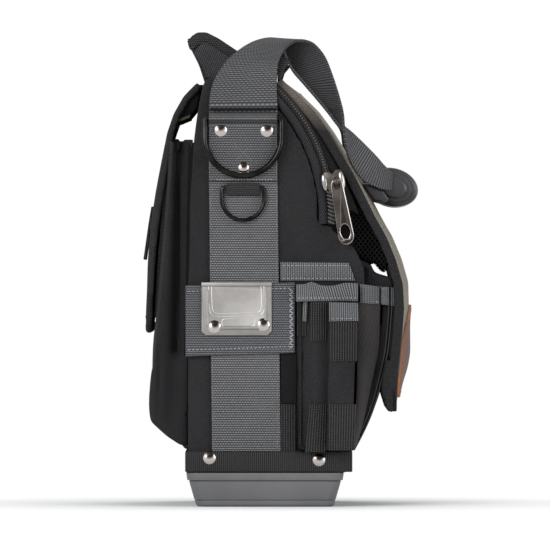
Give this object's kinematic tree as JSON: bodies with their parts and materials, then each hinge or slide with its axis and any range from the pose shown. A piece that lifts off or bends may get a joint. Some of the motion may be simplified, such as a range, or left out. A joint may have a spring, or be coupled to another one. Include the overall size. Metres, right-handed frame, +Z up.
{
  "type": "tool pouch",
  "caption": "Upright nylon tool pouch on a moulded base, with a crowned front cover, a flapped rear pocket, side pockets, D-rings and a webbing handle with a rubber grip.",
  "frame": {"origin": "centre of the base tray's underside, on the surface that the pouch stands on", "axes": "+X from the back (flap) to the front (cover), +Z up, -Y towards the side with the steel clip"},
  "size_m": [0.205, 0.2582, 0.3492],
  "materials": {
    "black_nylon": "twill nylon",
    "ribbed_webbing": "black ribbed tape",
    "grey_webbing": "woven webbing",
    "grey_tape": "binding tape",
    "taupe_cover_cloth": "coarse plain weave",
    "brown_leather": "stitched edge",
    "black_net": "open net",
    "hook_tape": "hook tape",
    "base_board": "stiffening board",
    "grey_moulded_plastic": "fine moulded grain",
    "black_rubber": "satin",
    "zip_teeth": "coil zip",
    "dark_plated_steel": "dark nickel plate",
    "brushed_steel": "brushed"
  },
  "bodies": {
    "bag": {"base_tray": "grey_moulded_plastic", "base_band": "ribbed_webbing", "side_panel_near": "black_nylon", "side_panel_far": "black_nylon", "back_panel": "black_nylon", "top_panel": "black_nylon", "front_panel": "black_nylon", "floor_board": "base_board", "centre_divider": "black_nylon", "piping_near": "black_nylon", "piping_far": "black_nylon", "zip_chain_near": "zip_teeth", "zip_chain_far": "zip_teeth", "rear_pocket": "black_nylon", "rear_pocket_tab": "hook_tape", "front_pocket_inner": "black_nylon", "front_pocket_outer": "black_nylon", "front_pocket_tape_inner": "grey_tape", "front_pocket_tape_outer": "grey_tape", "side_pocket_near": "black_nylon", "side_pocket_far": "black_nylon", "side_sleeve_near": "black_nylon", "side_sleeve_far": "black_nylon", "side_pocket_tape_near": "grey_tape", "side_pocket_tape_far": "grey_tape", "side_sleeve_tape_near": "grey_tape", "side_sleeve_tape_far": "grey_tape", "side_trim_tape_near": "grey_tape", "side_trim_tape_far": "grey_tape", "top_collar": "black_nylon", "collar_binding": "ribbed_webbing", "side_webbing_near": "grey_webbing", "side_webbing_far": "grey_webbing", "anchor_patch_near": "grey_webbing", "anchor_patch_far": "grey_webbing", "ring_loop_near": "ribbed_webbing", "ring_loop_far": "ribbed_webbing", "clip_band": "grey_webbing", "clip_plate": "brushed_steel"},
    "cover": {"front_cover": "taupe_cover_cloth", "cover_binding": "ribbed_webbing", "cover_net": "black_net", "cover_patch": "brown_leather"},
    "flap": {"rear_flap": "black_nylon", "rear_flap_loop": "ribbed_webbing"},
    "slider_near": {"zip_slider_near": "dark_plated_steel"},
    "slider_far": {"zip_slider_far": "dark_plated_steel"},
    "pull_near": {"zip_pull_near": "dark_plated_steel"},
    "pull_far": {"zip_pull_far": "dark_plated_steel"},
    "big_d_near": {"big_ring_near": "dark_plated_steel"},
    "big_d_far": {"big_ring_far": "dark_plated_steel"},
    "small_d_near": {"small_ring_near": "dark_plated_steel"},
    "small_d_far": {"small_ring_far": "dark_plated_steel"},
    "handle_lower": {"strap_lower_near": "grey_webbing", "strap_lower_far": "grey_webbing"},
    "handle_upper": {"strap_upper_near": "grey_webbing", "strap_upper_far": "grey_webbing", "handle_grip": "black_rubber"}
  },
  "joints": [
    {"name": "cover_open", "type": "hinge", "parent": "bag", "child": "cover", "pos_m": [0.00882, 0, 0.316], "axis": [0, -1, 0], "range_deg": [0, 112]},
    {"name": "handle_raise", "type": "hinge", "parent": "bag", "child": "handle_lower", "pos_m": [-0.0162, 0, 0.28598], "axis": [0, -1, 0], "range_deg": [0, 32.1]},
    {"name": "handle_unfold", "type": "hinge", "parent": "handle_lower", "child": "handle_upper", "pos_m": [0.01692, 0, 0.3446], "axis": [0, -1, 0], "range_deg": [0, 112.1]},
    {"name": "rear_flap_open", "type": "hinge", "parent": "bag", "child": "flap", "pos_m": [-0.0456, 0, 0.31347], "axis": [0, 1, 0], "range_deg": [0, 95]},
    {"name": "zip_slide_near", "type": "hinge", "parent": "bag", "child": "slider_near", "pos_m": [-0.0801, 0, 0.21456], "axis": [0, -1, 0], "range_deg": [-9, 27]},
    {"name": "zip_slide_far", "type": "hinge", "parent": "bag", "child": "slider_far", "pos_m": [-0.0801, 0, 0.21456], "axis": [0, -1, 0], "range_deg": [-9, 27]},
    {"name": "zip_pull_swing_near", "type": "hinge", "parent": "slider_near", "child": "pull_near", "pos_m": [0.05234, -0.1171, 0.23911], "axis": [-0.9976, 0, -0.0698], "range_deg": [0, 150]},
    {"name": "zip_pull_swing_far", "type": "hinge", "parent": "slider_far", "child": "pull_far", "pos_m": [0.05234, 0.1171, 0.23911], "axis": [0.9976, 0, 0.0698], "range_deg": [0, 150]},
    {"name": "big_ring_swing_near", "type": "hinge", "parent": "bag", "child": "big_d_near", "pos_m": [-0.0162, -0.1164, 0.28598], "axis": [-1, 0, 0], "range_deg": [0, 150]},
    {"name": "big_ring_swing_far", "type": "hinge", "parent": "bag", "child": "big_d_far", "pos_m": [-0.0162, 0.1164, 0.28598], "axis": [1, 0, 0], "range_deg": [0, 150]},
    {"name": "small_ring_swing_near", "type": "hinge", "parent": "bag", "child": "small_d_near", "pos_m": [-0.0162, -0.1156, 0.23508], "axis": [-1, 0, 0], "range_deg": [0, 150]},
    {"name": "small_ring_swing_far", "type": "hinge", "parent": "bag", "child": "small_d_far", "pos_m": [-0.0162, 0.1156, 0.23508], "axis": [1, 0, 0], "range_deg": [0, 150]}
  ],
  "couplings": [
    {"joint": "handle_raise", "follows": "cover_open", "ratio": 0.28571},
    {"joint": "handle_unfold", "follows": "cover_open", "ratio": 1}
  ]
}
